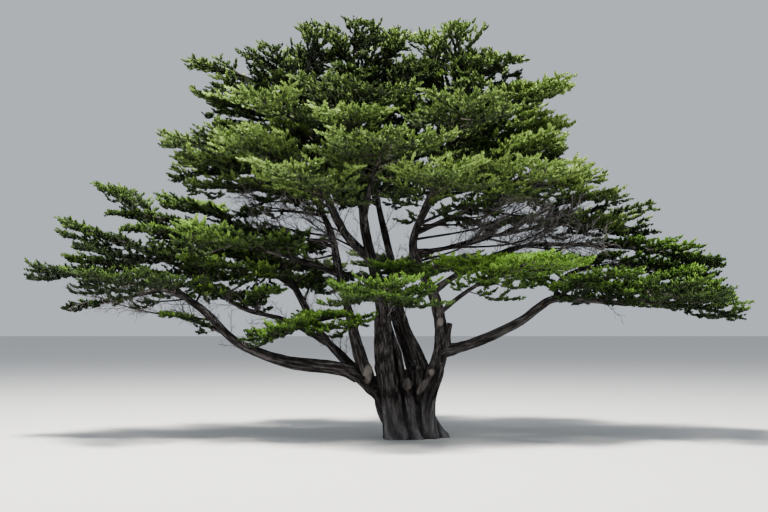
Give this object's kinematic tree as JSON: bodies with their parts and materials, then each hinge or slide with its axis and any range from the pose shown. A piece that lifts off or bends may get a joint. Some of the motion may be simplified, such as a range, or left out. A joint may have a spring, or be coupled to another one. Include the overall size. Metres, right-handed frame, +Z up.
{
  "type": "cypress tree",
  "caption": "Wide coast cypress: short fluted bole dividing low into stems and long low boughs, under flat layered shelves of dark green foliage.",
  "frame": {"origin": "middle of the bole's flat cut at ground level", "axes": "+Z up the tree; -Y towards the side seen in the picture; +X towards the longest low bough at the right"},
  "size_m": [25.7, 16.2612, 15.13],
  "materials": {
    "bark": "rough grey-brown bark in long ridges",
    "foliage": "matt dark green scale-leaf sprays"
  },
  "bodies": {
    "root": {"trunk": "bark", "centre_stem": "bark", "left_low_bough": "bark", "left_riser": "bark", "left_back_stem": "bark", "back_stem": "bark", "rear_bough": "bark", "right_stem": "bark", "left_fork": "bark", "centre_left_stem": "bark", "right_low_bough": "bark", "right_upper_fork": "bark", "right_low_fan": "bark", "right_mid_fan": "bark", "right_high_fan": "bark", "left_low_tip": "foliage", "left_shelf": "foliage", "left_under_shelf": "foliage", "left_spur": "foliage", "left_crest": "foliage", "left_inner_shelf": "foliage", "left_inner_low": "foliage", "front_low_pad": "foliage", "front_pad": "foliage", "front_right_pad": "foliage", "right_low_tip": "foliage", "right_low_front": "foliage", "right_low_back": "foliage", "right_mid_tip": "foliage", "right_shoulder": "foliage", "right_spur": "foliage", "right_shelf": "foliage", "right_front_shelf": "foliage", "crown_left_low": "foliage", "crown_left_mid": "foliage", "crown_left_high": "foliage", "crown_left_top": "foliage", "top_left": "foliage", "top_left_leader": "foliage", "top_middle": "foliage", "top_centre": "foliage", "top_right_leader": "foliage", "top_right": "foliage", "crown_right_top": "foliage", "crown_right_high": "foliage", "crown_right_mid": "foliage", "face_left_top": "foliage", "face_left_mid": "foliage", "face_left_low": "foliage", "face_top": "foliage", "face_middle": "foliage", "face_right_top": "foliage", "face_right_low": "foliage", "rear_low_left": "foliage", "rear_low_middle": "foliage", "rear_low_right": "foliage", "rear_left": "foliage", "rear_right": "foliage", "rear_middle": "foliage", "rear_top": "foliage"}
  },
  "joints": []
}
